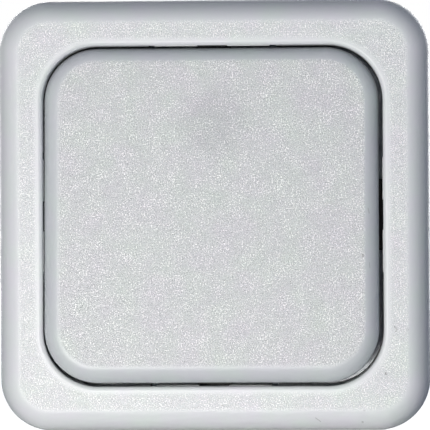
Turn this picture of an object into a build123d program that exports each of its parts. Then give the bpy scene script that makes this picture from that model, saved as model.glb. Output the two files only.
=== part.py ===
"""European one-rocker wall switch. mm, +Z up, the room on -Y, the wall's face is the plane Y = 0."""

import math
import os

from build123d import *

os.makedirs("parts", exist_ok=True)

# Heights are off the wall, towards the room. Depths go into the wall.

# rocker
screw_spacing = 60.0
rocker_over = 1.9  # wider than the box screws' spacing
rocker_side = screw_spacing + rocker_over
rocker_corner = 9.86
rocker_roll_w = 3.0
rocker_roll_h = 4.0
rocker_wall = 1.8
rocker_face = 5.5  # above the pivot
rocker_skirt = 1.5  # below the pivot
skirt_taper_deg = 7.0
roof_fillet = 2.0
rib_t = 1.0
rib_h = 1.5
rib_inset = 9.0
clip_w = 9.0
clip_t = 1.2
clip_hook = 0.6
clip_gap = 0.1
pivot_h = 5.5
rocker_shift = -0.3  # the rocker's side play in its bearings, taken up to the left
tilt_deg = 3.5

# cover frame
rocker_gap = 0.55
opening_side = rocker_side + 2 * rocker_gap
opening_corner = 10.2
collar_wall = 1.3
collar_foot = 1.6
collar_draft = 0.25
lug_gap = 0.3
ring_t = 1.0
ring_edge = 1.4
ring_clear = 2.5
frame_wall = 2.0
lug_near = opening_side / 2 + collar_wall + lug_gap
ring_side = 2 * (lug_near + ring_t + ring_edge)
frame_side = ring_side + 2 * (ring_clear + frame_wall)
frame_corner = 9.7
frame_height = 9.0
frame_roll_w = 4.4
frame_roll_h = 7.0
inner_fillet = 4.0
lip_roll = 0.8
centre_slot = 5.6
tongue_w = 7.8
tongue_proud = 0.12
side_slot = 1.2
slot_below_face = 1.1
barb_h = 2.5
barb_t = 1.2
barb_reach = 0.6
barb_inset = 0.8
frame_rib_at = 24.0
foot_bar_in = 0.7  # reaches this far into the opening
foot_bar_h = 0.8
foot_bar_lap = 0.5
foot_bar_gap = 0.1

# toggle with its spring and plunger
toggle_x = 12.5
toggle_z = 15.0
toggle_under = 1.5
toggle_window_x = 17.0
toggle_window_z = 6.4
toggle_window_at = 9.2
cheek_t = 2.5
cheek_z = 6.0
cheek_low = 1.8
trunnion_r = 1.6
trunnion_gap = 0.05
ear_gap = 0.7
ear_t = 3.6
ear_z = 7.2
ear_over = 2.1
ear_mouth = 2.6
trunnion_end = toggle_x + ear_gap + ear_t + 0.2
stem_side = 7.0
stem_depth = 6.0
stem_end = pivot_h + stem_depth
spring_bore_r = 2.1
plunger_gap = 0.15
plunger_r = spring_bore_r - plunger_gap
plunger_guide = 3.4
plunger_in = 2.7
plunger_out = 3.4
plunger_peg_r = 1.0
plunger_peg = 2.2
dome_r = 1.5
spring_wire_r = 0.25
spring_r = 1.6
spring_turns = 4
spring_clear = 0.1

# lever and its contacts
lever_t = 0.8
lever_gap = 0.1
lever_x = 2.75
lever_z = 10.5
lever_deg = 8.0
lever_pivot = stem_end + plunger_out + lever_gap + lever_t - pivot_h
tip_z = 8.5
tip_r = 1.4
tip_t = 0.8
tip_gap = 0.05
ridge_r = 0.35
groove_r = 0.45
ridge_h = 0.3
bar_t = 0.8
post_w = 5.0
post_t = 1.6
bridge_w = 6.0
bar_past = 3.0  # past the wire's middle
contact_w = 3.4

# housing in the wall box
housing_x = 19.0
housing_z = 24.0
housing_depth = 23.0
housing_wall = 1.5
housing_cut = 4.0
back_edge = 0.8
back_in = housing_depth - housing_wall
boss_r = 2.4
boss_x = housing_x - 3.5
boss_z = housing_z - 4.0
fixing_r = 1.15
fixing_gap = 0.05
fixing_pass = 0.2
fixing_depth = 8.0
fixing_head_r = 2.0
fixing_head_h = 0.9
guide_top = 8.5
guide_end = 12.2
guide_z = 5.6
guide_t = 0.8
guide_gap = 0.45

# push-in clamps and their release buttons
wire_x = 11.0
wire_z = 13.0
wire_r = 1.4
wire_lead = 0.5
wire_side = 0.2
leaf_t = 0.4
leaf_w = 4.8
leaf_back = 4.95
leaf_bend = 0.95
leaf_anchor = back_in - 8.5
leaf_turn = back_in - 3.5
leaf_tip_x = wire_x + 1.2
leaf_tip = back_in - 6.6
bus_x = wire_x + wire_r + wire_side + bar_t / 2
bus_end = back_in - 3.7
bus_start = guide_end + 0.3
chamber_t = 1.0
button_x = wire_x - 2.2
button_t = 1.0
button_reach = wire_z + 2.0
button_seat = 0.3
button_bar = 1.6
finger_w = 3.0
finger_end = back_in - 3.0
pad_w = 2.9
pad_h = 9.0
pad_proud = 0.8
pad_gap = 0.2

# insert cover and support ring
cover_z = housing_z - 0.5
cover_t = 1.2
cover_top = ring_t + cover_t
cover_corner = 3.0
window_side = 0.4
window_swing = 1.2
skirt_gap = 0.3
skirt_wall = 1.5
ring_open_x = 2 * (housing_x - 4.0)
ring_open_z = 2 * (housing_z - 6.0)
ring_open_corner = 2.0
ring_corner = 6.0
stop_gap = 0.11
stop_w = 3.0
stop_t = 2.0
slot_w = 4.2
slot_length = 6.0
arc_slot_deg = 18.0
lug_w = 8.6
lug_at = 6.8
lug_h = 5.0
lug_relief = 0.6
lug_window_gap = 0.2

# claws
claw_t = 1.0
claw_w = 12.0
fork_w = 5.0
claw_side = 1.0
claw_x = housing_x + claw_side + claw_t / 2
claw_bar_r = 0.7
claw_bar_gap = 0.05
claw_ear = 1.4
claw_pivot_h = ring_t + claw_bar_gap + claw_bar_r
claw_slot_w = 1.7
claw_slot_side = 0.15
claw_slot_gap = 0.2
claw_bend = 1.2
claw_bridge = 4.0
arm_depth = housing_depth - 6.0
arm_x = 6.9
arm_rise = 2.46
arm_slot_end = 5.1
tooth_pitch = 3.0
tooth_d = 1.4
claw_screw_x = claw_x + 3.0
claw_screw_r = 1.5
claw_screw_hole = 0.2
claw_slot_play = 0.4
claw_head_r = 2.8
claw_head_h = 2.2
head_round = 0.7
cross_w = 0.9
cross_l = 3.6
cross_d = 1.4
nut_side = 5.6
nut_t = 1.9
nut_gap = 0.05
nut_depth = arm_depth + 2.9
thread_past = 0.5


def wall(height):
    return Plane.XZ.offset(height)


def turned(depth, degrees, x=0):
    # faces the room, through the point at this depth, turned about +X; its own y axis points up
    a = math.radians(degrees)
    return Plane(origin=(x, depth, 0), x_dir=(1, 0, 0), z_dir=(0, -math.cos(a), -math.sin(a)))


def quarter(number):
    return Plane(wall(0).location * Location((0, 0, 0), (0, 0, 90 * number)))


def corners(x, z):
    return [(side * x, end * z) for side in (-1, 1) for end in (-1, 1)]


def rounded_loop(half, r):
    # a rounded square from the middle of its top side round to there again
    flat = half - r
    Line((0, half), (flat, half))
    CenterArc((flat, flat), r, 90, -90)
    Line((half, flat), (half, -flat))
    CenterArc((flat, -flat), r, 0, -90)
    Line((flat, -half), (-flat, -half))
    CenterArc((-flat, -flat), r, 270, -90)
    Line((-half, -flat), (-half, flat))
    CenterArc((-flat, flat), r, 180, -90)
    Line((-flat, half), (0, half))


def outside_roll(top, side, width, height):
    # what a quarter-ellipse edge leaves of the corner at (top, side)
    EllipticalCenterArc((top - height, side - width), height, width, 0, arc_size=90)
    Polyline(
        (top - height, side),
        (top - height, side + 1),
        (top + 1, side + 1),
        (top + 1, side - width),
        (top, side - width),
    )


def save(sub, label):
    sub.part.label = label
    export_step(sub.part, f"parts/{label}.step")


rocker_plane = turned(-pivot_h, -tilt_deg, rocker_shift)
lever_plane = turned(lever_pivot, lever_deg)
tilt = math.radians(tilt_deg)
tongue_at = centre_slot / 2 + tongue_w / 2
slot_at = centre_slot / 2 + tongue_w + side_slot / 2

with BuildPart() as cover_frame:
    with BuildSketch(wall(0)):
        RectangleRounded(frame_side, frame_side, frame_corner)
    extrude(amount=frame_height)
    with BuildSketch(wall(0)):
        RectangleRounded(frame_side - 2 * frame_wall, frame_side - 2 * frame_wall, frame_corner - frame_wall)
    extrude(amount=frame_height - frame_wall, mode=Mode.SUBTRACT)
    under = -(frame_height - frame_wall)
    fillet(cover_frame.edges().filter_by_position(Axis.Y, under - 0.01, under + 0.01), inner_fillet)
    with BuildLine(wall(frame_height)) as rim:
        rounded_loop(frame_side / 2, frame_corner)
    with BuildSketch(Plane(origin=(0, 0, 0), x_dir=(0, -1, 0), z_dir=(-1, 0, 0))):
        with BuildLine():
            outside_roll(frame_height, frame_side / 2, frame_roll_w, frame_roll_h)
        make_face()
    sweep(path=rim.line, mode=Mode.SUBTRACT)
    # ribs between the outer wall and the collar
    rib_middle = (opening_side / 2 + frame_side / 2 - frame_wall) / 2
    rib_length = frame_side / 2 - frame_wall - opening_side / 2 + 0.4
    for number in range(4):
        with BuildSketch(quarter(number).offset(collar_foot)):
            with Locations((-frame_rib_at, rib_middle), (frame_rib_at, rib_middle)):
                Rectangle(rib_t, rib_length)
        extrude(amount=frame_height - frame_wall - collar_foot)
    collar_side = opening_side + 2 * collar_wall
    with BuildSketch(wall(collar_foot)):
        RectangleRounded(collar_side, collar_side, opening_corner + collar_wall)
    collar_depth = frame_height - collar_foot
    extrude(amount=collar_depth - 0.5)
    with BuildSketch(wall(frame_height)):
        RectangleRounded(opening_side, opening_side, opening_corner)
    draft_deg = math.degrees(math.atan(collar_draft / collar_depth))
    extrude(amount=-collar_depth, taper=draft_deg, mode=Mode.SUBTRACT)
    face_edges = cover_frame.edges().filter_by_position(Axis.Y, -frame_height - 0.01, -frame_height + 0.01)
    inside = opening_side / 2 + 0.1
    fillet(face_edges.filter_by(lambda e: max(abs(e.center().X), abs(e.center().Z)) < inside), lip_roll)
    # each side: a notch in the middle, a spring tongue either side of it and a narrow slot beyond
    for number in range(4):
        side = quarter(number)
        with BuildSketch(side.offset(collar_foot)):
            with Locations((-tongue_at, opening_side / 2), (tongue_at, opening_side / 2)):
                Rectangle(tongue_w, 2 * tongue_proud)
        extrude(amount=collar_depth - 1.2)
        with BuildSketch(side.offset(collar_foot - 0.1)):
            with Locations((0, opening_side / 2 + 0.4)):
                Rectangle(centre_slot, 2 * collar_wall)
            with Locations((-slot_at, opening_side / 2 + 0.4), (slot_at, opening_side / 2 + 0.4)):
                Rectangle(side_slot, 2 * collar_wall)
        extrude(amount=collar_depth + 0.1 - slot_below_face - 0.3, mode=Mode.SUBTRACT)
        # a low bar joins the two tongues' feet across the notch
        bar_in = opening_side / 2 - foot_bar_in
        bar_out = lug_near - foot_bar_gap
        with BuildSketch(side.offset(collar_foot)):
            with Locations((0, (bar_in + bar_out) / 2)):
                Rectangle(centre_slot + 2 * foot_bar_lap, bar_out - bar_in)
        extrude(amount=foot_bar_h)
        barb_middle = (collar_side + barb_reach) / 2
        with BuildSketch(side.offset(barb_h)):
            with Locations((-tongue_at, barb_middle), (tongue_at, barb_middle)):
                Rectangle(tongue_w - 2 * barb_inset, barb_reach)
        extrude(amount=barb_t)
save(cover_frame, "cover_frame")

# the rocker, in its rest position with the top pressed in
with BuildPart() as rocker:
    roll_foot = rocker_face - rocker_roll_h
    with BuildSketch(rocker_plane.offset(roll_foot)):
        RectangleRounded(rocker_side, rocker_side, rocker_corner)
    extrude(amount=rocker_roll_h)
    with BuildSketch(rocker_plane.offset(roll_foot)):
        RectangleRounded(rocker_side, rocker_side, rocker_corner)
    extrude(amount=-(roll_foot + rocker_skirt), taper=skirt_taper_deg)
    with BuildLine(rocker_plane.offset(rocker_face)) as brim:
        rounded_loop(rocker_side / 2, rocker_corner)
    with BuildSketch(Plane(origin=rocker_plane.origin, x_dir=rocker_plane.z_dir, z_dir=(-1, 0, 0))):
        with BuildLine():
            outside_roll(rocker_face, rocker_side / 2, rocker_roll_w, rocker_roll_h)
        make_face()
    sweep(path=brim.line, mode=Mode.SUBTRACT)
    hollow = rocker_side - 2 * rocker_wall
    roof = rocker_face - rocker_wall
    with BuildSketch(rocker_plane.offset(-rocker_skirt - 0.1)):
        RectangleRounded(hollow, hollow, rocker_corner - rocker_wall)
    extrude(amount=roof + rocker_skirt + 0.1, mode=Mode.SUBTRACT)
    roof_edges = rocker.edges().filter_by(lambda e: abs(rocker_plane.to_local_coords(e.center()).Z - roof) < 0.01)
    fillet(roof_edges, roof_fillet)
    # ribs under the face, and the two clip legs that snap under the toggle
    rib_at = hollow / 2 - rib_inset
    with BuildSketch(rocker_plane.offset(roof - rib_h)):
        with Locations((-rib_at, 0), (rib_at, 0)):
            Rectangle(rib_t, hollow - 6.0)
        with Locations((0, -rib_at), (0, rib_at)):
            Rectangle(2 * rib_at, rib_t)
    extrude(amount=rib_h)
    hook_top = toggle_under - 0.05
    hook_low = toggle_under - 0.6
    for end in (-1, 1):
        with BuildSketch(rocker_plane.offset(hook_low)):
            with Locations((0, end * (toggle_z + clip_gap + clip_t / 2))):
                Rectangle(clip_w, clip_t)
        extrude(amount=roof - hook_low)
        with BuildSketch(rocker_plane.offset(hook_low)):
            with Locations((0, end * (toggle_z + clip_gap - clip_hook / 2 + 0.1))):
                Rectangle(clip_w, clip_hook + 0.2)
        extrude(amount=hook_top - hook_low)
save(rocker, "rocker")

with BuildPart() as toggle:
    with BuildSketch(rocker_plane.offset(toggle_under)):
        RectangleRounded(2 * toggle_x, 2 * toggle_z, 1.5)
        with Locations((0, -toggle_window_at), (0, toggle_window_at)):
            RectangleRounded(toggle_window_x, toggle_window_z, 1.0, mode=Mode.SUBTRACT)
    extrude(amount=roof - toggle_under)
    # cheeks that carry the trunnions
    with BuildSketch(rocker_plane.offset(-cheek_low)):
        with Locations((cheek_t / 2 - toggle_x, 0), (toggle_x - cheek_t / 2, 0)):
            Rectangle(cheek_t, cheek_z)
    extrude(amount=cheek_low + toggle_under)
    with BuildSketch(rocker_plane.offset(-stem_end)):
        RectangleRounded(stem_side, stem_side, 1.0)
    extrude(amount=stem_end + toggle_under)
    # webs between the stem and the cheeks
    web = toggle_x - cheek_t - stem_side / 2
    with BuildSketch(rocker_plane.offset(0.2)):
        with Locations(*[(x * (stem_side / 2 + web / 2), 0) for x in (-1, 1)]):
            Rectangle(web + 0.4, 1.4)
    extrude(amount=toggle_under - 0.2)
    for end in (-1, 1):
        with BuildSketch(Plane.YZ.offset(rocker_shift + end * (toggle_x - cheek_t + 0.5))):
            with Locations((-pivot_h, 0)):
                Circle(trunnion_r)
        extrude(amount=end * (trunnion_end - toggle_x + cheek_t - 0.5))
    with BuildSketch(rocker_plane.offset(-stem_end)):
        Circle(spring_bore_r)
    extrude(amount=stem_end, mode=Mode.SUBTRACT)
save(toggle, "toggle")

inward = rocker_plane.z_dir * -1
plunger_top = stem_end - plunger_in
spring_start = spring_wire_r + spring_clear
spring_length = plunger_top - 2 * spring_start
with BuildPart() as toggle_spring:
    with BuildLine() as coil:
        Helix(
            spring_length / spring_turns,
            spring_length,
            spring_r,
            center=tuple(rocker_plane.origin + inward * spring_start),
            direction=tuple(inward),
        )
    with BuildSketch(Plane(origin=coil.line @ 0, z_dir=coil.line % 0)):
        RegularPolygon(spring_wire_r, 6)
    sweep(path=coil.line, is_frenet=True)
save(toggle_spring, "toggle_spring")

with BuildPart() as plunger:
    stem_plane = Plane(origin=rocker_plane.origin, x_dir=(1, 0, 0), z_dir=rocker_plane.y_dir * -1)
    tip_at = -(stem_end + plunger_out)
    guide_foot = -(plunger_top + plunger_guide)
    with BuildSketch(stem_plane):
        with BuildLine():
            CenterArc((0, tip_at + dome_r), dome_r, 270, 90)
            Polyline(
                (dome_r, tip_at + dome_r),
                (dome_r, guide_foot),
                (plunger_r, guide_foot),
                (plunger_r, -plunger_top),
                (plunger_peg_r, -plunger_top),
                (plunger_peg_r, plunger_peg - plunger_top),
                (0, plunger_peg - plunger_top),
                (0, tip_at),
            )
        make_face()
    revolve(axis=Axis(rocker_plane.origin, rocker_plane.z_dir))
save(plunger, "plunger")

# the seesaw lever in its rest position, the lower contact closed
with BuildPart() as contact_lever:
    with BuildSketch(lever_plane):
        RectangleRounded(2 * lever_x, 2 * lever_z, 1.2)
    extrude(amount=lever_t)
    with BuildSketch(Plane.YZ.offset(-lever_x - 1)):
        with Locations((lever_pivot, 0)):
            Circle(groove_r)
    extrude(amount=2 * lever_x + 2, mode=Mode.SUBTRACT)
save(contact_lever, "contact_lever")

for label, end in (("lever_tip_upper", 1), ("lever_tip_lower", -1)):
    with BuildPart() as lever_tip:
        with BuildSketch(lever_plane):
            with Locations((0, end * tip_z)):
                Circle(tip_r)
        extrude(amount=-tip_t)
    save(lever_tip, label)

for label, end in (("fixed_tip_upper", 1), ("fixed_tip_lower", -1)):
    closed = turned(lever_pivot, -end * lever_deg)
    with BuildPart() as fixed_tip:
        with BuildSketch(closed.offset(-tip_t - tip_gap)):
            with Locations((0, end * tip_z)):
                Circle(tip_r)
        extrude(amount=-tip_t)
    save(fixed_tip, label)

with BuildPart() as common_terminal:
    post_start = lever_pivot + ridge_h
    with BuildSketch(Plane.YZ.offset(-post_w / 2)):
        with Locations((lever_pivot, 0)):
            Circle(ridge_r)
        with Locations((lever_pivot + ridge_h / 2, 0)):
            Rectangle(ridge_h, 2 * ridge_r)
        with Locations(((post_start + bus_end) / 2, 0)):
            Rectangle(bus_end - post_start, post_t)
    extrude(amount=post_w)
    bridge_end = bus_x + bar_t / 2
    with BuildSketch(wall(-bus_end)):
        with Locations(((post_w / 2 - bridge_end) / 2, 0)):
            Rectangle(post_w / 2 + bridge_end, bridge_w)
    extrude(amount=bar_t)
    with BuildSketch(wall(-bus_end)):
        with Locations((-bus_x, 0)):
            Rectangle(bar_t, 2 * (wire_z + bar_past))
    extrude(amount=bus_end - bus_start)
save(common_terminal, "common_terminal")

for label, end in (("upper_contact", 1), ("lower_contact", -1)):
    closed = turned(lever_pivot, -end * lever_deg)
    with BuildPart() as contact:
        with BuildSketch(closed.offset(-2 * tip_t - tip_gap - bar_t)):
            with Locations(((bus_x - post_w / 2) / 2, end * tip_z)):
                Rectangle(bus_x + post_w / 2, contact_w)
        extrude(amount=bar_t)
        low_z = tip_z - contact_w / 2 + 0.1
        high_z = wire_z + bar_past - 0.5
        with BuildSketch(wall(-bus_end)):
            with Locations((bus_x, end * (low_z + high_z) / 2)):
                Rectangle(bar_t, high_z - low_z)
        extrude(amount=bus_end - bus_start)
    save(contact, label)

# push-in clamps: a bent leaf that presses the wire against the bar
leaf_x = wire_x - leaf_back
bend_x = leaf_x + leaf_bend
tip_dx = leaf_tip_x - bend_x
tip_dy = leaf_tip - leaf_turn
bend_end = math.degrees(math.atan2(tip_dy, tip_dx) + math.acos(leaf_bend / math.hypot(tip_dx, tip_dy)))
for label, side, end in (
    ("clamp_spring_common_upper", -1, 1),
    ("clamp_spring_common_lower", -1, -1),
    ("clamp_spring_upper", 1, 1),
    ("clamp_spring_lower", 1, -1),
):
    with BuildPart() as clamp_spring:
        with BuildSketch(Plane.XY.offset(end * wire_z - leaf_w / 2)) as leaf:
            with BuildLine():
                Line((leaf_x, leaf_anchor), (leaf_x, leaf_turn))
                bend = CenterArc((bend_x, leaf_turn), leaf_bend, 180, bend_end - 180)
                Line(bend @ 1, (leaf_tip_x, leaf_tip))
            trace(line_width=leaf_t)
            if side < 0:
                mirror(about=Plane.YZ, mode=Mode.REPLACE)
        extrude(amount=leaf_w)
    save(clamp_spring, label)

for label, side in (("left_release_button", -1), ("right_release_button", 1)):
    bar_back = back_in - button_seat
    with BuildPart() as release_button:
        with BuildSketch(wall(-bar_back)):
            with Locations((side * button_x, 0)):
                Rectangle(button_t, 2 * button_reach)
        extrude(amount=button_bar)
        with BuildSketch(wall(-bar_back)):
            with Locations((side * button_x, wire_z), (side * button_x, -wire_z)):
                Rectangle(button_t, finger_w)
        extrude(amount=bar_back - finger_end)
        with BuildSketch(wall(-housing_depth - pad_proud)):
            with Locations((side * (button_x + button_t / 2 - pad_w / 2), 0)):
                RectangleRounded(pad_w, pad_h, 0.6)
        extrude(amount=housing_depth + pad_proud - bar_back + button_bar)
    save(release_button, label)

with BuildPart() as base_housing:
    with BuildSketch(wall(0)):
        Rectangle(2 * housing_x, 2 * housing_z)
        chamfer(vertices(), housing_cut)
    extrude(amount=-housing_depth)
    chamfer(base_housing.faces().sort_by(Axis.Y)[-1].edges(), back_edge)
    with BuildSketch(wall(0)):
        Rectangle(2 * (housing_x - housing_wall), 2 * (housing_z - housing_wall))
        chamfer(vertices(), housing_cut - 0.55 * housing_wall)
    extrude(amount=-back_in, mode=Mode.SUBTRACT)
    with BuildSketch(wall(0)):
        with Locations(*corners(boss_x, boss_z)):
            Circle(boss_r)
    extrude(amount=-back_in - 0.5)
    with BuildSketch(wall(0)):
        with Locations(*corners(boss_x, boss_z)):
            Circle(fixing_r + fixing_gap)
    extrude(amount=-fixing_depth - 2.0, mode=Mode.SUBTRACT)
    # chamber walls behind the springs, and guides beside the lever
    chamber_low = wire_z - leaf_w / 2 - 0.1
    chamber_high = housing_z - housing_wall + 0.2
    with BuildSketch(wall(-bus_start - 0.1)):
        with Locations(*corners(leaf_x - leaf_t / 2 - 0.25 - chamber_t / 2, (chamber_low + chamber_high) / 2)):
            Rectangle(chamber_t, chamber_high - chamber_low)
    extrude(amount=bus_start + 0.1 - back_in - 0.5)
    guide_from = lever_x + guide_gap
    guide_to = housing_x - housing_wall + 0.3
    with BuildSketch(wall(-guide_top)):
        with Locations(*corners((guide_from + guide_to) / 2, guide_z)):
            Rectangle(guide_to - guide_from, guide_t)
    extrude(amount=guide_top - guide_end)
    with BuildSketch(wall(-housing_depth - 1)):
        with Locations(*corners(wire_x, wire_z)):
            Circle(wire_r)
    extrude(amount=housing_wall + 1.5, mode=Mode.SUBTRACT)
    back_edges = base_housing.edges().filter_by_position(Axis.Y, housing_depth - 0.01, housing_depth + 0.01)
    chamfer(back_edges.filter_by(GeomType.CIRCLE), wire_lead)
    with BuildSketch(wall(-housing_depth - 1)):
        with Locations(*[(x * (button_x + button_t / 2 - pad_w / 2), 0) for x in (-1, 1)]):
            RectangleRounded(pad_w + 2 * pad_gap, pad_h + 2 * pad_gap, 0.8)
    extrude(amount=housing_wall + 1.5, mode=Mode.SUBTRACT)
save(base_housing, "base_housing")

with BuildPart() as insert_cover:
    with BuildSketch(wall(ring_t)):
        RectangleRounded(2 * housing_x, 2 * cover_z, cover_corner)
        Rectangle(stem_side + 2 * window_side, stem_side + 2 * window_swing, mode=Mode.SUBTRACT)
    extrude(amount=cover_t)
    # rim round the stem's window
    with BuildSketch(wall(ring_t)):
        RectangleRounded(stem_side + 2 * window_side + 2.0, stem_side + 2 * window_swing + 2.0, 1.0)
        Rectangle(stem_side + 2 * window_side, stem_side + 2 * window_swing, mode=Mode.SUBTRACT)
    extrude(amount=cover_t + 0.8)
    # skirt down through the ring to the housing
    skirt_x = ring_open_x - 2 * skirt_gap
    skirt_z = ring_open_z - 2 * skirt_gap
    with BuildSketch(wall(0.02)):
        RectangleRounded(skirt_x, skirt_z, ring_open_corner - skirt_gap)
        RectangleRounded(skirt_x - 2 * skirt_wall, skirt_z - 2 * skirt_wall, 1.0, mode=Mode.SUBTRACT)
    extrude(amount=ring_t - 0.02)
    ear_x = toggle_x + ear_gap + ear_t / 2
    with BuildSketch(wall(cover_top - 0.6)):
        with Locations((-ear_x, 0), (ear_x, 0)):
            Rectangle(ear_t, ear_z)
    extrude(amount=pivot_h + ear_over - cover_top + 0.6)
    for end in (-1, 1):
        with BuildSketch(Plane.YZ.offset(end * (toggle_x + ear_gap - 0.2))):
            with Locations((-pivot_h, 0)):
                Circle(trunnion_r + trunnion_gap)
            with Locations((-pivot_h - 1.5, 0)):
                Rectangle(3.0, ear_mouth)
        extrude(amount=end * (ear_t + 0.4), mode=Mode.SUBTRACT)
    # stops under the toggle's two ends
    stop_z = toggle_z - 0.5 - stop_t / 2
    stop_top = pivot_h + toggle_under * math.cos(tilt) - (toggle_z - 0.5) * math.sin(tilt) - stop_gap
    with BuildSketch(wall(cover_top - 0.2)):
        with Locations(*corners(clip_w / 2 + 2.0 + stop_w / 2, stop_z)):
            Rectangle(stop_w, stop_t)
    extrude(amount=stop_top - cover_top + 0.2)
    with BuildSketch(wall(0)):
        with Locations(*corners(boss_x, boss_z)):
            Circle(fixing_r + fixing_pass)
    extrude(amount=cover_top + 1, mode=Mode.SUBTRACT)
save(insert_cover, "insert_cover")

with BuildPart() as support_ring:
    half_arc = arc_slot_deg / 2
    with BuildSketch(wall(0)):
        RectangleRounded(ring_side, ring_side, ring_corner)
        RectangleRounded(ring_open_x, ring_open_z, ring_open_corner, mode=Mode.SUBTRACT)
        with Locations((0, screw_spacing / 2), (0, -screw_spacing / 2)):
            SlotOverall(slot_length, slot_w, rotation=90, mode=Mode.SUBTRACT)
        for middle in (0, 180):
            around = {"start_angle": middle - half_arc, "end_angle": middle + half_arc}
            SlotArc(Edge.make_circle(screw_spacing / 2, **around), slot_w, mode=Mode.SUBTRACT)
        with Locations((-claw_screw_x, 0), (claw_screw_x, 0)):
            Circle(claw_screw_r + claw_screw_hole, mode=Mode.SUBTRACT)
        leg = (claw_w - fork_w) / 2
        with Locations(*corners(claw_x + claw_slot_side, (claw_w + fork_w) / 4)):
            Rectangle(claw_slot_w, leg + 2 * claw_slot_gap, mode=Mode.SUBTRACT)
        with Locations(*corners(boss_x, boss_z)):
            Circle(fixing_r + fixing_pass, mode=Mode.SUBTRACT)
        # the edge is cut back where the lugs are bent up
        with PolarLocations(0, 4):
            with Locations((ring_side / 2, lug_at), (ring_side / 2, -lug_at)):
                Rectangle(2 * ring_edge, lug_w + 2 * lug_relief, mode=Mode.SUBTRACT)
    extrude(amount=ring_t)
    for number in range(4):
        side = quarter(number)
        lugs = [(x * lug_at, lug_near + ring_t / 2) for x in (-1, 1)]
        with BuildSketch(side):
            with Locations(*lugs):
                Rectangle(lug_w, ring_t)
        extrude(amount=lug_h)
        with BuildSketch(side.offset(barb_h - lug_window_gap)):
            with Locations(*[(x * tongue_at, lug_near + ring_t / 2) for x in (-1, 1)]):
                Rectangle(tongue_w - 2 * barb_inset + 2 * lug_window_gap, ring_t + 1)
        extrude(amount=barb_t + 2 * lug_window_gap, mode=Mode.SUBTRACT)
save(support_ring, "support_ring")

with BuildPart() as housing_screws:
    for x, z in corners(boss_x, boss_z):
        with BuildSketch(wall(cover_top)):
            with Locations((x, z)):
                Circle(fixing_head_r)
        extrude(amount=fixing_head_h)
        with BuildSketch(wall(-fixing_depth)):
            with Locations((x, z)):
                Circle(fixing_r)
        extrude(amount=fixing_depth + cover_top)
        with BuildSketch(wall(cover_top + 0.3)):
            with Locations((x, z)):
                Rectangle(2.4, 0.5)
                Rectangle(0.5, 2.4)
        extrude(amount=fixing_head_h, mode=Mode.SUBTRACT)
save(housing_screws, "housing_screws")

# claws: a fork of sheet steel hung in the ring by two rolled bars, pushed outwards by the nut on its screw
for label, side in (("left_claw", -1), ("right_claw", 1)):
    with BuildPart() as claw:
        with BuildSketch(Plane.XY.offset(-claw_w / 2)):
            with BuildLine():
                FilletPolyline(
                    (side * claw_x, -claw_pivot_h),
                    (side * claw_x, arm_depth),
                    (side * (claw_x + arm_x), arm_depth + arm_rise),
                    radius=claw_bend,
                )
            trace(line_width=claw_t)
        extrude(amount=claw_w)
        for end in (-1, 1):
            with BuildSketch(Plane.XY.offset(end * fork_w / 2)):
                with Locations((side * claw_x, -claw_pivot_h)):
                    Circle(claw_bar_r)
            extrude(amount=end * (leg + claw_ear))
        # fork: open between the two legs, closed by a bridge behind the ring
        with BuildSketch(Plane.YZ.offset(side * (claw_x - 2))):
            with Locations(((claw_bridge + arm_depth + 2) / 2, 0)):
                Rectangle(arm_depth + 2 - claw_bridge, fork_w)
            with Locations((-claw_pivot_h, 0)):
                Rectangle(2 * (claw_pivot_h + 0.3), fork_w)
        extrude(amount=side * 4.0, mode=Mode.SUBTRACT)
        with BuildSketch(wall(-arm_depth - arm_rise - 2)):
            with Locations((side * (claw_x + arm_slot_end / 2), 0)):
                Rectangle(arm_slot_end, 2 * (claw_screw_r + claw_slot_play))
        extrude(amount=arm_rise + 4, mode=Mode.SUBTRACT)
        outer = side * (claw_x + arm_x + 0.5)
        with BuildSketch(wall(-arm_depth - arm_rise - 2)):
            for z in (-tooth_pitch, 0, tooth_pitch):
                with BuildLine():
                    Polyline((outer, z - 1.1), (outer, z + 1.1), (outer - side * tooth_d, z), close=True)
                make_face()
        extrude(amount=arm_rise + 4, mode=Mode.SUBTRACT)
    save(claw, label)

for label, side in (("left_claw_screw", -1), ("right_claw_screw", 1)):
    screw_end = nut_depth + nut_t + thread_past
    with BuildPart() as claw_screw:
        with BuildSketch(wall(ring_t)):
            with Locations((side * claw_screw_x, 0)):
                Circle(claw_head_r)
        extrude(amount=claw_head_h)
        head_top = -ring_t - claw_head_h
        fillet(claw_screw.edges().filter_by_position(Axis.Y, head_top - 0.01, head_top + 0.01), head_round)
        with BuildSketch(wall(-screw_end)):
            with Locations((side * claw_screw_x, 0)):
                Circle(claw_screw_r)
        extrude(amount=screw_end + ring_t)
        with BuildSketch(wall(ring_t + claw_head_h - cross_d)):
            with Locations((side * claw_screw_x, 0)):
                Rectangle(cross_l, cross_w)
                Rectangle(cross_w, cross_l)
        extrude(amount=cross_d + 1, mode=Mode.SUBTRACT)
    save(claw_screw, label)

for label, side in (("left_claw_nut", -1), ("right_claw_nut", 1)):
    with BuildPart() as claw_nut:
        with BuildSketch(wall(-nut_depth - nut_t)):
            with Locations((side * claw_screw_x, 0)):
                RectangleRounded(nut_side, nut_side, 0.4)
                Circle(claw_screw_r + nut_gap, mode=Mode.SUBTRACT)
        extrude(amount=nut_t)
    save(claw_nut, label)
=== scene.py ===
import bpy
import bmesh
import math
from mathutils import Matrix, Vector


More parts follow.
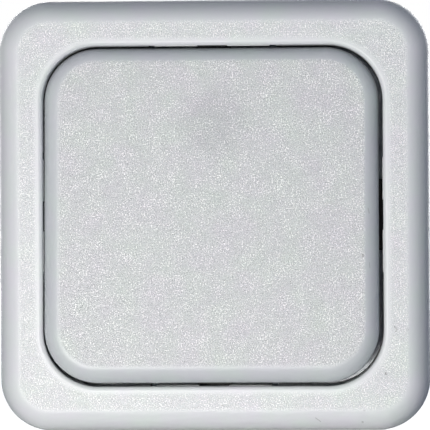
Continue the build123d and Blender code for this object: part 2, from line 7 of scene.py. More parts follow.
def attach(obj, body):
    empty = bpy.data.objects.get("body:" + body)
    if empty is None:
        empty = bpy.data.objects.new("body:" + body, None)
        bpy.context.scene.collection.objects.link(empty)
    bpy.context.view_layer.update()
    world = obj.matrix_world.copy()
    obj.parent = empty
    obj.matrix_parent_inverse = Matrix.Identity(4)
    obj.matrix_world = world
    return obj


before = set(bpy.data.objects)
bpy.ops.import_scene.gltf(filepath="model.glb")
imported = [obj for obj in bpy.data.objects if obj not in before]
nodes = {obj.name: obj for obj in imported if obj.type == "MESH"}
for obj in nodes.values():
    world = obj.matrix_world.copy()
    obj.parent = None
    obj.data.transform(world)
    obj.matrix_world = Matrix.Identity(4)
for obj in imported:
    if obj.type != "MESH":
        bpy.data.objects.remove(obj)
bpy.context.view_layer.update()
print("frame loaded:", len(nodes), "nodes")

# sizes of the part's source that the finishes follow, in millimetres and degrees
partSizes = {
    "frameSide": 80.0,
    "frameCorner": 9.7,
    "frameRoll": 4.4,
    "openingSide": 63.0,
    "openingCorner": 10.2,
    "rockerSide": 61.9,
    "rockerCorner": 9.86,
    "rockerRoll": 3.0,
    "tiltDegrees": 3.5,
}

# Object coordinates are metres, and every pattern is worked out in millimetres
toMillimetres = (1000, 1000, 1000)
onFront = (1, 0, 1)  # keeps what lies across the front and drops the depth


def hexColour(text):
    # sRGB hex to the linear values that shaders work in
    values = [int(text[i:i + 2], 16) / 255 for i in (1, 3, 5)]
    linear = [v / 12.92 if v <= 0.04045 else ((v + 0.055) / 1.055) ** 2.4 for v in values]
    return (*linear, 1.0)


def addNode(tree, kind, inputs=None, **settings):
    # one node with its settings; an input is a value or the socket that feeds it
    node = tree.nodes.new(kind)
    for name, value in settings.items():
        setattr(node, name, value)
    for name, value in (inputs or {}).items():
        if isinstance(value, bpy.types.NodeSocket):
            tree.links.new(value, node.inputs[name])
        else:
            node.inputs[name].default_value = value
    return node


def newMaterial(name):
    material = bpy.data.materials.new(name)
    material.use_nodes = True
    tree = material.node_tree
    shader = next(n for n in tree.nodes if n.type == "BSDF_PRINCIPLED")
    return material, tree, shader


def giveMaterial(material, *names):
    for name in names:
        for slot in nodes[name].material_slots:
            slot.material = material


def squareDistance(tree, point, half, corner):
    # distance in millimetres from a rounded square on the front, below zero inside it
    flat = half - corner
    size = addNode(tree, "ShaderNodeVectorMath", {0: point}, operation="ABSOLUTE")
    past = addNode(tree, "ShaderNodeVectorMath", {0: size.outputs[0], 1: (flat, 0, flat)},
                   operation="SUBTRACT")
    level = addNode(tree, "ShaderNodeVectorMath", {0: past.outputs[0], 1: onFront}, operation="MULTIPLY")
    outer = addNode(tree, "ShaderNodeVectorMath", {0: level.outputs[0], 1: (0, 0, 0)}, operation="MAXIMUM")
    reach = addNode(tree, "ShaderNodeVectorMath", {0: outer.outputs[0]}, operation="LENGTH")
    axes = addNode(tree, "ShaderNodeSeparateXYZ", {0: past.outputs[0]})
    larger = addNode(tree, "ShaderNodeMath", {0: axes.outputs[0], 1: axes.outputs[2]}, operation="MAXIMUM")
    inner = addNode(tree, "ShaderNodeMath", {0: larger.outputs[0], 1: 0.0}, operation="MINIMUM")
    total = addNode(tree, "ShaderNodeMath", {0: reach.outputs["Value"], 1: inner.outputs[0]},
                    operation="ADD")
    return addNode(tree, "ShaderNodeMath", {0: total.outputs[0], 1: corner}, operation="SUBTRACT").outputs[0]


def markDistance(tree, point, start, end):
    # distance in millimetres from a short line on the front
    first = Vector((start[0], 0, start[1]))
    run = Vector((end[0], 0, end[1])) - first
    offset = addNode(tree, "ShaderNodeVectorMath", {0: point, 1: first}, operation="SUBTRACT")
    flat = addNode(tree, "ShaderNodeVectorMath", {0: offset.outputs[0], 1: onFront}, operation="MULTIPLY")
    along = addNode(tree, "ShaderNodeVectorMath", {0: flat.outputs[0], 1: run / run.length_squared},
                    operation="DOT_PRODUCT")
    share = addNode(tree, "ShaderNodeClamp", {0: along.outputs["Value"]})
    foot = addNode(tree, "ShaderNodeVectorMath", {0: run, "Scale": share.outputs[0]}, operation="SCALE")
    away = addNode(tree, "ShaderNodeVectorMath", {0: flat.outputs[0], 1: foot.outputs[0]},
                   operation="DISTANCE")
    return away.outputs["Value"]


# ABS, injection moulded in a spark-eroded mould: the flats have a sparkling grain of raised points
# about 0.25 mm across, the rounded edges are polished smooth, and touching dulls the grain
# distances and heights are in millimetres
# the white points and dark pits of the grain are a painted highlight and painted shade of its relief
whitePlastic = {
    "frame": {
        # the smooth colour is a little darker than the ground: painted shade that damps the highlight on the
        # smooth band and the rolls
        "smooth": "#d5d8da", "ground": "#d8dcdd", "point": "#ffffff", "pitShade": "#a4a9ab",
        "side": partSizes["frameSide"], "corner": partSizes["frameCorner"],
        "roll": partSizes["frameRoll"],
        "tilt": 0.0,
        "smoothTo": 0.7, "grainFrom": 1.9,  # away from the opening's edge
        "crowded": 0.0, "seed": 0.0,
        # painted gap shade begins at the first depth and is full at the second
        "shadeFrom": 7.0, "fullShadeFrom": 4.2,  # above the wall
    },
    "rocker": {
        # the smooth colour on the rocker's rolls is darker: painted shade where the rolls turn away from the
        # light
        "smooth": "#c3c7ca", "ground": "#cfd2d3", "point": "#ffffff", "pitShade": "#7a7f81",
        "side": partSizes["rockerSide"], "corner": partSizes["rockerCorner"],
        "roll": partSizes["rockerRoll"],
        "tilt": -math.radians(partSizes["tiltDegrees"]),
        "smoothTo": 0.0, "grainFrom": 0.1,
        "crowded": -0.012, "seed": 37.0,
        "shadeFrom": 7.9, "fullShadeFrom": 6.4,
        # where fingers press, the surface is polished and a little grey
        "worn": {"middle": (0.7, 0, 16.4), "fresh": 9.0, "full": 2.0, "tone": "#f0f1f1"},
    },
    # cosine of the slope against the front, where the grain begins and where it is full
    "facing": {"smooth": 0.955, "grained": 0.998},
    # how far the grain fades past and before the inner end of the rolled edge
    "edgeFade": {"past": 0.9, "before": 0.3},
    "pointSize": 0.25, "pointFrom": 0.52, "pointFull": 0.56,
    "fineShare": 1.5,  # the fine roughness is this much finer than the points
    "pitFrom": 0.5, "pitFull": 0.3, "pitDepth": 0.8,
    "crowdScale": 0.35, "crowdSpread": 0.035,  # crowds in a millimetre, and how much they lift the points
    "blotchSize": 6.0, "blotchWarm": "#fdfaff", "blotchCool": "#fafffb",
    "grainRoughness": 0.5, "smoothRoughness": 0.43, "ior": 1.53, "specular": 0.5,
    "fineRise": 0.35, "bumpHeight": 0.00005,  # the height is in metres
}

# the middle of a noise's range, where most of its values lie
noiseSpan = {"From Min": 0.3, "From Max": 0.7}

# painted shade deep in the gap round the rocker, where the gap is in shadow; the band reaches this far under
# the frame
paintedGapShade = {"colour": "#211e1a", "under": 1.2}

# marks of use on the front, in millimetres from the middle: start, end, half width, how dark
marks = {
    "frame": [
        ((33.4, -20.6), (33.9, -21.1), 0.07, 0.55),
        ((33.9, -21.1), (33.7, -21.5), 0.06, 0.45),
        ((35.6, -21.1), (36.0, -21.2), 0.09, 0.25),
        ((31.75, -29.2), (31.8, -29.3), 0.14, 0.6),
        ((18.8, -37.4), (19.7, -38.1), 0.06, 0.5),
        ((1.4, -35.0), (2.0, -35.1), 0.06, 0.35),
        ((27.7, -36.0), (27.9, -36.05), 0.1, 0.3),
        ((27.4, -38.2), (27.5, -38.25), 0.11, 0.5),
    ],
    "rocker": [
        ((28.7, 0.6), (28.9, -0.3), 0.06, 0.35),
        ((27.7, -8.0), (27.75, -8.2), 0.13, 0.55),
        ((28.9, -9.4), (29.0, -10.3), 0.05, 0.3),
    ],
}
# a mark is full to the first share of its half width and gone at the second
markLook = {"colour": "#6f7070", "full": 0.6, "gone": 2.2}


def grainMask(tree, point, normal, look):
    # 1 on the grained flat, 0 on the rolled edges and on the smooth band beside the opening
    turned = addNode(tree, "ShaderNodeMapping", {"Vector": normal, "Rotation": (-look["tilt"], 0, 0)})
    forwards = addNode(tree, "ShaderNodeVectorMath", {0: turned.outputs[0], 1: (0, -1, 0)},
                       operation="DOT_PRODUCT")
    facing = whitePlastic["facing"]
    flat = addNode(tree, "ShaderNodeMapRange", {
        "Value": forwards.outputs["Value"], "From Min": facing["smooth"], "From Max": facing["grained"]})
    fade = whitePlastic["edgeFade"]
    inside = squareDistance(tree, point, look["side"] / 2, look["corner"])
    edge = addNode(tree, "ShaderNodeMapRange", {
        "Value": inside,
        "From Min": fade["past"] - look["roll"], "From Max": -fade["before"] - look["roll"]},
        interpolation_type="SMOOTHSTEP")
    fromOpening = squareDistance(tree, point, partSizes["openingSide"] / 2, partSizes["openingCorner"])
    besideOpening = addNode(tree, "ShaderNodeMath", {0: fromOpening}, operation="ABSOLUTE")
    band = addNode(tree, "ShaderNodeMapRange", {
        "Value": besideOpening.outputs[0], "From Min": look["smoothTo"], "From Max": look["grainFrom"]},
        interpolation_type="SMOOTHSTEP")
    inner = addNode(tree, "ShaderNodeMath", {0: flat.outputs[0], 1: edge.outputs[0]}, operation="MULTIPLY")
    mask = addNode(tree, "ShaderNodeMath", {0: inner.outputs[0], 1: band.outputs[0]}, operation="MULTIPLY")
    return mask.outputs[0]


def grainPattern(tree, point, look):
    # raised points of uneven size, which crowd here and there, and a finer roughness between them
    points = addNode(tree, "ShaderNodeTexNoise", {
        "Vector": point, "Scale": 1 / whitePlastic["pointSize"], "Detail": 2.0, "Roughness": 0.55})
    fine = addNode(tree, "ShaderNodeTexNoise", {
        "Vector": point, "Scale": whitePlastic["fineShare"] / whitePlastic["pointSize"], "Detail": 1.0})
    crowd = addNode(tree, "ShaderNodeTexNoise", {
        "Vector": point, "Scale": whitePlastic["crowdScale"], "Detail": 3.0})
    crowdLift = addNode(tree, "ShaderNodeMapRange", {
        "Value": crowd.outputs[0], **noiseSpan,
        "To Min": look["crowded"] - whitePlastic["crowdSpread"],
        "To Max": look["crowded"] + whitePlastic["crowdSpread"]})
    level = addNode(tree, "ShaderNodeMath", {0: points.outputs[0], 1: crowdLift.outputs[0]}, operation="ADD")
    raised = addNode(tree, "ShaderNodeMapRange", {
        "Value": level.outputs[0],
        "From Min": whitePlastic["pointFrom"], "From Max": whitePlastic["pointFull"]})
    return raised.outputs[0], fine.outputs[0]


def grainColour(tree, point, mask, raised, fine, look):
    # smooth plastic, a ground between the points with painted shade in the pits, and a painted highlight on
    # the points themselves
    ground = addNode(tree, "ShaderNodeMix", {
        0: mask, 6: hexColour(look["smooth"]), 7: hexColour(look["ground"])}, data_type="RGBA")
    pitShade = addNode(tree, "ShaderNodeMapRange", {
        "Value": fine, "From Min": whitePlastic["pitFrom"], "From Max": whitePlastic["pitFull"],
        "To Max": whitePlastic["pitDepth"]})
    pitShadeShown = addNode(tree, "ShaderNodeMath", {0: pitShade.outputs[0], 1: mask}, operation="MULTIPLY")
    pitShaded = addNode(tree, "ShaderNodeMix", {
        0: pitShadeShown.outputs[0], 6: ground.outputs[2], 7: hexColour(look["pitShade"])}, data_type="RGBA")
    pointHighlightShown = addNode(tree, "ShaderNodeMath", {0: raised, 1: mask}, operation="MULTIPLY")
    grained = addNode(tree, "ShaderNodeMix", {
        0: pointHighlightShown.outputs[0], 6: pitShaded.outputs[2], 7: hexColour(look["point"])}, data_type="RGBA")
    # large pale blotches of two tints
    blotch = addNode(tree, "ShaderNodeTexNoise", {
        "Vector": point, "Scale": 1 / whitePlastic["blotchSize"], "Detail": 3.0})
    blotchShare = addNode(tree, "ShaderNodeMapRange", {"Value": blotch.outputs[0], **noiseSpan})
    tint = addNode(tree, "ShaderNodeMix", {
        0: blotchShare.outputs[0], 6: hexColour(whitePlastic["blotchWarm"]),
        7: hexColour(whitePlastic["blotchCool"])}, data_type="RGBA")
    tinted = addNode(tree, "ShaderNodeMix", {0: 1.0, 6: grained.outputs[2], 7: tint.outputs[2]},
                     data_type="RGBA", blend_type="MULTIPLY")
    return tinted.outputs[2]


def addWornSpot(tree, point, colour, spot):
    offset = addNode(tree, "ShaderNodeVectorMath", {0: point, 1: spot["middle"]}, operation="SUBTRACT")
    flat = addNode(tree, "ShaderNodeVectorMath", {0: offset.outputs[0], 1: onFront}, operation="MULTIPLY")
    reach = addNode(tree, "ShaderNodeVectorMath", {0: flat.outputs[0]}, operation="LENGTH")
    share = addNode(tree, "ShaderNodeMapRange", {
        "Value": reach.outputs["Value"], "From Min": spot["fresh"], "From Max": spot["full"]},
        interpolation_type="SMOOTHSTEP")
    worn = addNode(tree, "ShaderNodeMix", {0: share.outputs[0], 6: colour, 7: hexColour(spot["tone"])},
                   data_type="RGBA", blend_type="MULTIPLY")
    return worn.outputs[2]


# painted shade: a dark colour on the surfaces deep in the gap, where shade falls
def addPaintedGapShade(tree, point, colour, look):
    under = paintedGapShade["under"]
    depth = addNode(tree, "ShaderNodeSeparateXYZ", {0: point})
    sunk = addNode(tree, "ShaderNodeMapRange", {
        "Value": depth.outputs["Y"], "From Min": -look["shadeFrom"], "From Max": -look["fullShadeFrom"]})
    fromGap = squareDistance(
        tree, point, partSizes["openingSide"] / 2 + under, partSizes["openingCorner"] + under)
    inGap = addNode(tree, "ShaderNodeMath", {0: fromGap, 1: 0.0}, operation="LESS_THAN")
    share = addNode(tree, "ShaderNodeMath", {0: sunk.outputs[0], 1: inGap.outputs[0]}, operation="MULTIPLY")
    gapShaded = addNode(tree, "ShaderNodeMix", {
        0: share.outputs[0], 6: colour, 7: hexColour(paintedGapShade["colour"])}, data_type="RGBA")
    return gapShaded.outputs[2]


def addMark(tree, point, colour, start, end, halfWidth, dark):
    share = addNode(tree, "ShaderNodeMapRange", {
        "Value": markDistance(tree, point, start, end),
        "From Min": halfWidth * markLook["gone"], "From Max": halfWidth * markLook["full"], "To Max": dark})
    marked = addNode(tree, "ShaderNodeMix", {
        0: share.outputs[0], 6: colour, 7: hexColour(markLook["colour"])}, data_type="RGBA")
    return marked.outputs[2]


def makeWhitePlastic(name, part):
    look = whitePlastic[part]
    material, tree, shader = newMaterial(name)
    place = addNode(tree, "ShaderNodeTexCoord")
    # the pattern lies square on the piece's own front, which is tilted on the rocker
    point = addNode(tree, "ShaderNodeMapping", {
        "Vector": place.outputs["Object"], "Rotation": (-look["tilt"], 0, 0),
        "Scale": toMillimetres}).outputs[0]
    shifted = addNode(tree, "ShaderNodeVectorMath", {0: point, 1: (look["seed"], 0, look["seed"])},
                      operation="ADD").outputs[0]
    mask = grainMask(tree, point, place.outputs["Normal"], look)
    raised, fine = grainPattern(tree, shifted, look)
    colour = grainColour(tree, shifted, mask, raised, fine, look)
    if "worn" in look:
        colour = addWornSpot(tree, point, colour, look["worn"])
    colour = addPaintedGapShade(tree, point, colour, look)
    for mark in marks[part]:
        colour = addMark(tree, point, colour, *mark)
    tree.links.new(colour, shader.inputs["Base Color"])

    roughness = addNode(tree, "ShaderNodeMapRange", {
        "Value": mask, "To Min": whitePlastic["smoothRoughness"], "To Max": whitePlastic["grainRoughness"]})
    tree.links.new(roughness.outputs[0], shader.inputs["Roughness"])
    shader.inputs["IOR"].default_value = whitePlastic["ior"]
    shader.inputs["Specular IOR Level"].default_value = whitePlastic["specular"]
    rise = addNode(tree, "ShaderNodeMath", {0: fine, 1: whitePlastic["fineRise"]}, operation="MULTIPLY")
    height = addNode(tree, "ShaderNodeMath", {0: raised, 1: rise.outputs[0]}, operation="ADD")
    bump = addNode(tree, "ShaderNodeBump", {
        "Strength": mask, "Distance": whitePlastic["bumpHeight"], "Height": height.outputs[0]})
    tree.links.new(bump.outputs[0], shader.inputs["Normal"])
    return material


framePlastic = makeWhitePlastic("spark grained ABS, frame", "frame")
giveMaterial(framePlastic, "cover_frame")
giveMaterial(makeWhitePlastic("spark grained ABS, rocker", "rocker"), "rocker")
print("frame and rocker finished")

# lips on the frame's foot bars at the left and right, which close the gap below the rocker, in metres
# deep in the gap the lips take the painted gap shade, so they look dark
barLip = {
    "inner": 0.0302, "outer": 0.0313, "foot": 0.0016, "top": 0.0022, "halfLength": 0.0066,
    "round": 0.00015, "roundSteps": 3, "roundProfile": 0.5,
}


def makeBarLip(side):
    # a low bar with rounded edges that runs into the foot bar's side
    shape = bmesh.new()
    bmesh.ops.create_cube(shape, size=1.0)
    inner, outer, foot, top = barLip["inner"], barLip["outer"], barLip["foot"], barLip["top"]
    middle = Vector((side * (inner + outer) / 2, -(foot + top) / 2, 0))
    size = Vector((outer - inner, top - foot, 2 * barLip["halfLength"]))
    for corner in shape.verts:
        corner.co = middle + Vector(a * b for a, b in zip(corner.co, size))
    bmesh.ops.bevel(shape, geom=shape.edges[:], offset=barLip["round"], segments=barLip["roundSteps"],
                    profile=barLip["roundProfile"], affect="EDGES")
    name = "foot_bar_lip_" + ("left" if side < 0 else "right")
    mesh = bpy.data.meshes.new(name)
    shape.to_mesh(mesh)
    shape.free()
    mesh.materials.append(framePlastic)
    piece = bpy.data.objects.new(name, mesh)
    bpy.context.collection.objects.link(piece)
    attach(piece, "insert")


for side in (-1, 1):
    makeBarLip(side)
print("bar lips made")

# moulded plastics of the insert, matt with fine clouds; sizes in millimetres, the bump in metres
insertPlastics = {
    # polyamide with glass fibre: clouds where the fibres reach the surface
    "moulded polyamide": {
        "light": "#b9bbb9", "dark": "#adb0af", "rough": 0.55,
        "nodes": ["toggle", "plunger", "base_housing", "insert_cover"]},
    # acetal buttons: dyed through, a little smoother
    "orange acetal": {
        "light": "#d9743a", "dark": "#cc6630", "rough": 0.38,
        "nodes": ["left_release_button", "right_release_button"]},
}
insertSurface = {
    "cloudSize": 2.5, "grainSize": 0.25, "roughSpread": 0.07, "ior": 1.53,
    "bump": 0.35, "bumpHeight": 0.00003,
}


def makeInsertPlastic(name, look):
    material, tree, shader = newMaterial(name)
    place = addNode(tree, "ShaderNodeTexCoord")
    point = addNode(tree, "ShaderNodeMapping", {
        "Vector": place.outputs["Object"], "Scale": toMillimetres}).outputs[0]
    cloud = addNode(tree, "ShaderNodeTexNoise", {
        "Vector": point, "Scale": 1 / insertSurface["cloudSize"], "Detail": 4.0})
    grain = addNode(tree, "ShaderNodeTexNoise", {
        "Vector": point, "Scale": 1 / insertSurface["grainSize"], "Detail": 2.0})
    tone = addNode(tree, "ShaderNodeMapRange", {"Value": cloud.outputs[0], **noiseSpan})
    mix = addNode(tree, "ShaderNodeMix", {
        0: tone.outputs[0], 6: hexColour(look["light"]), 7: hexColour(look["dark"])}, data_type="RGBA")
    tree.links.new(mix.outputs[2], shader.inputs["Base Color"])
    rough = addNode(tree, "ShaderNodeMapRange", {
        "Value": grain.outputs[0], **noiseSpan,
        "To Min": look["rough"] - insertSurface["roughSpread"],
        "To Max": look["rough"] + insertSurface["roughSpread"]})
    tree.links.new(rough.outputs[0], shader.inputs["Roughness"])
    shader.inputs["IOR"].default_value = insertSurface["ior"]
    bump = addNode(tree, "ShaderNodeBump", {
        "Strength": insertSurface["bump"], "Distance": insertSurface["bumpHeight"],
        "Height": grain.outputs[0]})
    tree.links.new(bump.outputs[0], shader.inputs["Normal"])
    return material


for name, look in insertPlastics.items():
    giveMaterial(makeInsertPlastic(name, look), *look["nodes"])

# metals: base, second tone, size of the tone's clouds, roughness, spacing of the drawn or rolled lines
# sizes are in millimetres
metals = {
    # stamped and plated in a bath: dull, bluish white and softly clouded
    "zinc plated steel": {
        "light": "#b4b8bc", "dark": "#a0a6ac", "cloud": 1.6, "rough": 0.46, "line": 0.12,
        "nodes": ["support_ring", "housing_screws", "left_claw", "right_claw", "left_claw_screw",
                  "right_claw_screw", "left_claw_nut", "right_claw_nut"]},
    # cold rolled or drawn: bright grey with fine lines
    "spring steel": {
        "light": "#b9bbbd", "dark": "#8f9296", "cloud": 3.0, "rough": 0.26, "line": 0.06,
        "nodes": ["toggle_spring", "clamp_spring_common_upper", "clamp_spring_common_lower",
                  "clamp_spring_upper", "clamp_spring_lower"]},
    # stamped from rolled strip: yellow, with a slightly darker bloom
    "stamped brass": {
        "light": "#d9b56a", "dark": "#c19a52", "cloud": 3.0, "rough": 0.3, "line": 0.1,
        "nodes": ["contact_lever", "common_terminal", "upper_contact", "lower_contact"]},
    # riveted tips: nearly white and smooth
    "contact silver": {
        "light": "#e6e4de", "dark": "#cfccc4", "cloud": 0.9, "rough": 0.24, "line": 0.08,
        "nodes": ["lever_tip_upper", "lever_tip_lower", "fixed_tip_upper", "fixed_tip_lower"]},
}
# the lines are drawn out along the strip; the bump is in metres
metalSurface = {
    "toneFrom": 0.32, "toneTo": 0.68, "lineStretch": 0.15, "smoother": 0.08, "rougher": 0.1,
    "bump": 0.2, "bumpHeight": 0.00002,
}


def makeMetal(name, look):
    # soft clouds in the tone, and fine lines along the strip in the gloss
    material, tree, shader = newMaterial(name)
    place = addNode(tree, "ShaderNodeTexCoord")
    point = addNode(tree, "ShaderNodeMapping", {
        "Vector": place.outputs["Object"], "Scale": toMillimetres}).outputs[0]
    cloud = addNode(tree, "ShaderNodeTexNoise", {"Vector": point, "Scale": 1 / look["cloud"], "Detail": 4.0})
    tone = addNode(tree, "ShaderNodeMapRange", {
        "Value": cloud.outputs[0], "From Min": metalSurface["toneFrom"], "From Max": metalSurface["toneTo"]})
    mix = addNode(tree, "ShaderNodeMix", {
        0: tone.outputs[0], 6: hexColour(look["light"]), 7: hexColour(look["dark"])}, data_type="RGBA")
    tree.links.new(mix.outputs[2], shader.inputs["Base Color"])
    shader.inputs["Metallic"].default_value = 1.0
    across = addNode(tree, "ShaderNodeMapping", {
        "Vector": point,
        "Scale": (1 / look["line"], 1 / look["line"], metalSurface["lineStretch"] / look["line"])})
    lines = addNode(tree, "ShaderNodeTexNoise", {"Vector": across.outputs[0], "Scale": 1.0, "Detail": 2.0})
    rough = addNode(tree, "ShaderNodeMapRange", {
        "Value": lines.outputs[0], **noiseSpan,
        "To Min": look["rough"] - metalSurface["smoother"],
        "To Max": look["rough"] + metalSurface["rougher"]})
    tree.links.new(rough.outputs[0], shader.inputs["Roughness"])
    bump = addNode(tree, "ShaderNodeBump", {
        "Strength": metalSurface["bump"], "Distance": metalSurface["bumpHeight"],
        "Height": lines.outputs[0]})
    tree.links.new(bump.outputs[0], shader.inputs["Normal"])
    return material


metalMaterials = {name: makeMetal(name, look) for name, look in metals.items()}
for name, look in metals.items():
    giveMaterial(metalMaterials[name], *look["nodes"])
print("insert finished")

# threads of the claw screws: one helical ridge for each, in metres
thread = {
    "screwX": 0.0235, "start": 0.004, "end": 0.0222, "pitch": 0.0005,
    "coreRadius": 0.00146, "ridge": 0.00019, "steps": 28, "sides": 4,
}


def threadTree():
    # a spiral with a small profile of a few sides swept along it
    tree = bpy.data.node_groups.new("thread ridge", "GeometryNodeTree")
    sockets = {
        "Turns": "Float", "Length": "Float", "Radius": "Float", "Ridge": "Float",
        "Steps per turn": "Int", "Profile sides": "Int", "Material": "Material",
    }
    for name, kind in sockets.items():
        tree.interface.new_socket(name, in_out="INPUT", socket_type="NodeSocket" + kind)
    tree.interface.new_socket("Geometry", in_out="OUTPUT", socket_type="NodeSocketGeometry")
    given = addNode(tree, "NodeGroupInput")
    spiral = addNode(tree, "GeometryNodeCurveSpiral", {
        "Resolution": given.outputs["Steps per turn"], "Rotations": given.outputs["Turns"],
        "Start Radius": given.outputs["Radius"], "End Radius": given.outputs["Radius"],
        "Height": given.outputs["Length"]})
    profile = addNode(tree, "GeometryNodeCurvePrimitiveCircle", {
        "Resolution": given.outputs["Profile sides"], "Radius": given.outputs["Ridge"]})
    ridge = addNode(tree, "GeometryNodeCurveToMesh", {
        "Curve": spiral.outputs[0], "Profile Curve": profile.outputs[0], "Fill Caps": True})
    real = addNode(tree, "GeometryNodeRealizeInstances", {0: ridge.outputs[0]})
    dressed = addNode(tree, "GeometryNodeSetMaterial", {
        0: real.outputs[0], "Material": given.outputs["Material"]})
    addNode(tree, "NodeGroupOutput", {0: dressed.outputs[0]})
    return tree


def meshFromTree(name, tree, values, place):
    # runs a geometry tree once and keeps its result as a plain mesh that stands at the origin
    carrier = bpy.data.objects.new(name + " carrier", bpy.data.meshes.new(name + " carrier"))
    bpy.context.collection.objects.link(carrier)
    modifier = carrier.modifiers.new("shape", "NODES")
    modifier.node_group = tree
    for socket in tree.interface.items_tree:
        if socket.in_out == "INPUT" and socket.name in values:
            modifier[socket.identifier] = values[socket.name]
    evaluated = carrier.evaluated_get(bpy.context.evaluated_depsgraph_get())
    mesh = bpy.data.meshes.new_from_object(evaluated)
    carrier.modifiers.remove(modifier)
    bpy.data.objects.remove(carrier)
    mesh.transform(place)
    mesh.name = name
    piece = bpy.data.objects.new(name, mesh)
    bpy.context.collection.objects.link(piece)
    return piece


ridgeTree = threadTree()
threadLength = thread["end"] - thread["start"]
threadValues = {
    "Turns": threadLength / thread["pitch"], "Length": threadLength, "Radius": thread["coreRadius"],
    "Ridge": thread["ridge"], "Steps per turn": thread["steps"], "Profile sides": thread["sides"],
    "Material": metalMaterials["zinc plated steel"],
}
# the spiral grows along +Z, so it is laid down along +Y, into the wall
layDown = Matrix.Rotation(-math.pi / 2, 4, "X")
for side, body in ((-1, "left_claw_screw"), (1, "right_claw_screw")):
    place = Matrix.Translation((side * thread["screwX"], thread["start"], 0)) @ layDown
    piece = meshFromTree(body + "_thread", ridgeTree, threadValues, place)
    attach(piece, body)
print("threads made")

# floor, light and camera; places and sizes in metres, power in watts
studio = {
    "floorHeight": -0.04005,
    "floorSize": 6,
    "floorColour": "#e8e8e6",
    "floorRoughness": 0.9,
    "floorLift": 0.82,
    "ambient": "#5e6d88",
    "ambientStrength": 0.42,
    # what gloss mirrors: the room in front, then the white background from the side to behind
    "glossyFront": 0.2,
    "glossyBack": 1.0,
    "frontTo": -0.5,
    "backFrom": 0.1,
    "lamps": {
        "key": {"from": (-0.11, -0.49, -0.09), "size": 0.13, "power": 2.45, "colour": "#fffbf6"},
        "fill": {"from": (0.5, -0.9, 0.6), "size": 0.9, "power": 0.85, "colour": "#cfdcff"},
        "back left": {"from": (-0.28, 1.0, 0.13), "size": 0.4, "power": 4.0, "colour": "#ffffff"},
        "back right": {"from": (0.22, 1.05, 0.15), "size": 0.4, "power": 3.5, "colour": "#ffffff"},
    },
}


def addFloor(look):
    # pale and matt; the camera sees it lifted towards the white background, with the object's shadow on it
    bpy.ops.mesh.primitive_plane_add(size=look["floorSize"], location=(0, 0, look["floorHeight"]))
    floor = bpy.context.object
    floor.name = "floor"
    material, tree, shader = newMaterial("pale floor")
    shader.inputs["Base Color"].default_value = hexColour(look["floorColour"])
    shader.inputs["Roughness"].default_value = look["floorRoughness"]
    shader.inputs["Emission Color"].default_value = (1, 1, 1, 1)
    rays = addNode(tree, "ShaderNodeLightPath")
    lift = addNode(tree, "ShaderNodeMath", {0: rays.outputs["Is Camera Ray"], 1: look["floorLift"]},
                   operation="MULTIPLY")
    tree.links.new(lift.outputs[0], shader.inputs["Emission Strength"])
    floor.data.materials.append(material)
    floor.visible_shadow = False  # the key light shines up from below the floor line


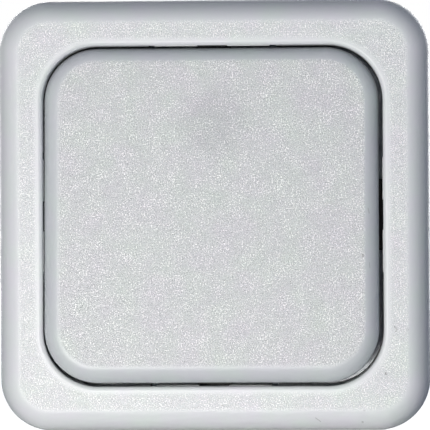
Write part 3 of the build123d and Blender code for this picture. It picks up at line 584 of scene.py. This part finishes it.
def addWorld(look):
    # a bluish ambient light, and white where the camera or clear material sees it
    world = bpy.data.worlds.new("studio")
    world.use_nodes = True
    bpy.context.scene.world = world
    sky = world.node_tree
    sky.nodes.clear()
    rays = addNode(sky, "ShaderNodeLightPath")
    # metal and gloss show the white background behind and beside the object, and a dimmer room in front
    toward = addNode(sky, "ShaderNodeTexCoord").outputs["Generated"]
    axes = addNode(sky, "ShaderNodeSeparateXYZ", {0: toward})
    room = addNode(sky, "ShaderNodeMapRange", {
        "Value": axes.outputs["Y"], "From Min": look["frontTo"], "From Max": look["backFrom"],
        "To Min": look["glossyFront"], "To Max": look["glossyBack"]})
    mirrored = addNode(sky, "ShaderNodeMath", {0: rays.outputs["Is Glossy Ray"], 1: room.outputs[0]},
                       operation="MULTIPLY")
    seen = addNode(sky, "ShaderNodeMath", {0: rays.outputs["Is Camera Ray"], 1: mirrored.outputs[0]},
                   operation="MAXIMUM")
    shown = addNode(sky, "ShaderNodeMath", {0: seen.outputs[0], 1: rays.outputs["Is Transmission Ray"]},
                    operation="MAXIMUM")
    dim = addNode(sky, "ShaderNodeBackground", {
        "Color": hexColour(look["ambient"]), "Strength": look["ambientStrength"]})
    white = addNode(sky, "ShaderNodeBackground", {"Color": (1, 1, 1, 1), "Strength": 1.0})
    both = addNode(sky, "ShaderNodeMixShader", {0: shown.outputs[0], 1: dim.outputs[0], 2: white.outputs[0]})
    addNode(sky, "ShaderNodeOutputWorld", {0: both.outputs[0]})


def addSoftLight(name, look):
    # a square lamp aimed at the object, which the camera doesn't see
    light = bpy.data.lights.new(name, "AREA")
    light.shape = "SQUARE"
    light.size = look["size"]
    light.energy = look["power"]
    light.color = hexColour(look["colour"])[:3]
    lamp = bpy.data.objects.new(name, light)
    lamp.location = look["from"]
    lamp.rotation_euler = (-Vector(look["from"])).to_track_quat("-Z", "Y").to_euler()
    lamp.visible_camera = False
    bpy.context.collection.objects.link(lamp)


addFloor(studio)
addWorld(studio)
for name, look in studio["lamps"].items():
    addSoftLight(name, look)

# the photograph's view: a long lens, a little from the right and from above
# angles are in degrees, the sensor in millimetres and the rest in metres
# width is what the picture spans at the point that the camera aims at
view = {
    "azimuth": 3.0, "elevation": 0.5, "distance": 0.75, "width": 0.0793, "roll": -0.333,
    "across": 0.00047, "up": 0.00013, "depth": -0.009,
    "sensor": 36, "clipStart": 0.01, "clipEnd": 20,
}


def addCamera(look):
    azimuth, elevation = math.radians(look["azimuth"]), math.radians(look["elevation"])
    back = Vector((
        math.sin(azimuth) * math.cos(elevation),
        -math.cos(azimuth) * math.cos(elevation),
        math.sin(elevation),
    ))
    right = Vector((0, 0, 1)).cross(back).normalized()
    above = back.cross(right)
    turn = Matrix.Rotation(math.radians(look["roll"]), 3, back)
    right, above = turn @ right, turn @ above
    aim = Vector((0, look["depth"], 0)) + right * look["across"] + above * look["up"]
    data = bpy.data.cameras.new("camera")
    data.sensor_width = look["sensor"]
    data.lens = look["sensor"] * look["distance"] / look["width"]
    data.clip_start = look["clipStart"]
    data.clip_end = look["clipEnd"]
    camera = bpy.data.objects.new("camera", data)
    pose = Matrix((right, above, back)).transposed().to_4x4()
    pose.translation = aim + back * look["distance"]
    camera.matrix_world = pose
    bpy.context.collection.objects.link(camera)
    bpy.context.scene.camera = camera


addCamera(view)
bpy.context.scene.view_settings.view_transform = "Standard"
print("studio ready")
